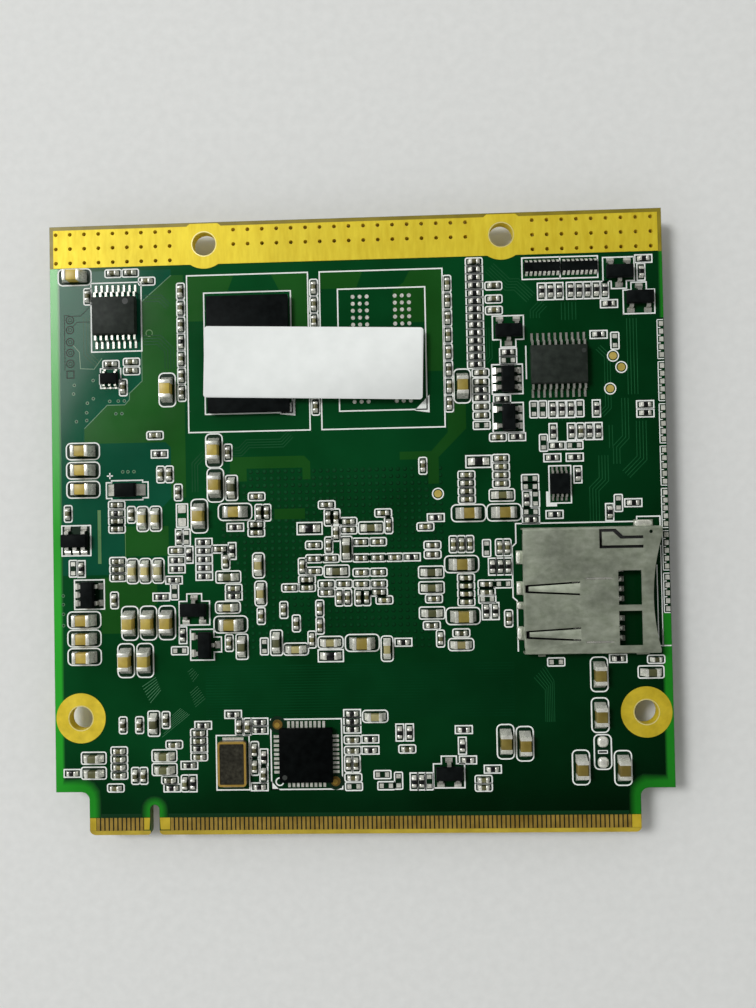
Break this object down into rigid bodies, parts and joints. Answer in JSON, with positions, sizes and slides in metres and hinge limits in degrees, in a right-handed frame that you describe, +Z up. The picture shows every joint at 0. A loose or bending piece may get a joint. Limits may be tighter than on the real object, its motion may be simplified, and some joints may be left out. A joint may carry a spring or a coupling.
{
  "type": "edge-card computer module",
  "caption": "Square edge-card computer module with a gold cooling strip, a gold contact tongue, chips on both faces and a push-push memory-card socket.",
  "frame": {"origin": "centre of the board in plan, at the underside of the processor's lid, on which the module lies", "axes": "+X across the board towards the card socket, +Y from the contact tongue to the cooling strip, +Z up out of the pictured face"},
  "size_m": [0.07, 0.07, 0.0052],
  "materials": {
    "board_laminate": "glass-epoxy laminate under a glossy dark green solder mask",
    "gold_plating": "satin gold plating",
    "contact_gold": "hard gold plating, slightly dulled",
    "shell_steel": "rolled stainless sheet with a warm stain",
    "socket_plastic": "black moulded plastic",
    "slider_plastic": "dark grey moulded plastic",
    "spring_steel": "drawn steel wire",
    "tinned_metal": "matte tin plating",
    "solder": "bright solder",
    "chip_mould": "black moulding compound",
    "tantalum_mould": "black moulding compound",
    "inductor_mould": "pressed grey iron powder",
    "label_paper": "white label stock, bare",
    "crystal_ceramic": "dark ceramic",
    "crystal_gold": "gold seal rim",
    "crystal_metal": "dark brushed lid",
    "resistor_glaze": "black glaze on ceramic",
    "capacitor_tan": "tan ceramic",
    "capacitor_brown": "brown ceramic",
    "ferrite_dark": "dark olive ferrite",
    "processor_laminate": "green laminate",
    "lid_nickel": "nickel-plated lid"
  },
  "bodies": {
    "module": {"board": "board_laminate", "cooling_strips": "gold_plating", "edge_contacts": "contact_gold", "mount_lands": "gold_plating", "socket_shell": "shell_steel", "socket_base": "socket_plastic", "card_contacts": "tinned_metal", "slider_spring": "spring_steel", "cam_pin": "spring_steel", "memory_chips": "chip_mould", "memory_balls": "solder", "memory_site_pads": "solder", "blank_label": "label_paper", "logic_chip_a": "chip_mould", "logic_chip_a_leads": "tinned_metal", "logic_chip_b": "chip_mould", "logic_chip_b_leads": "tinned_metal", "prom_chip": "chip_mould", "prom_chip_leads": "tinned_metal", "hub_chip": "chip_mould", "hub_chip_lands": "solder", "crystal_base": "crystal_ceramic", "crystal_rim": "crystal_gold", "crystal_lid": "crystal_metal", "crystal_lands": "solder", "tantalum_capacitor": "tantalum_mould", "tantalum_ends": "tinned_metal", "resistor_arrays": "resistor_glaze", "resistor_array_ends": "solder", "transistors": "chip_mould", "transistor_leads": "tinned_metal", "regulators": "chip_mould", "regulator_leads": "tinned_metal", "small_capacitors": "capacitor_tan", "small_capacitor_ends": "solder", "middle_capacitors": "capacitor_tan", "middle_capacitor_ends": "solder", "large_capacitors": "capacitor_brown", "large_capacitor_ends": "solder", "ferrite_beads": "ferrite_dark", "ferrite_bead_ends": "solder", "resistors": "resistor_glaze", "resistor_ends": "solder", "empty_pads": "solder", "test_points": "gold_plating", "edge_pads": "solder", "processor_substrate": "processor_laminate", "processor_lid": "lid_nickel", "processor_balls": "solder", "storage_chip": "chip_mould", "storage_balls": "solder", "power_chip": "chip_mould", "network_chip": "chip_mould", "lower_chip_lands": "solder", "flash_chip": "chip_mould", "flash_chip_leads": "tinned_metal", "power_inductors": "inductor_mould", "inductor_ends": "tinned_metal"},
    "slider": {"card_slider": "slider_plastic"}
  },
  "joints": [
    {"name": "card_push", "type": "slide", "parent": "module", "child": "slider", "axis": [-1, 0, 0], "range_m": [0, 0.0035], "stiffness_N_per_m": 200, "deforming": ["slider_spring"]}
  ]
}
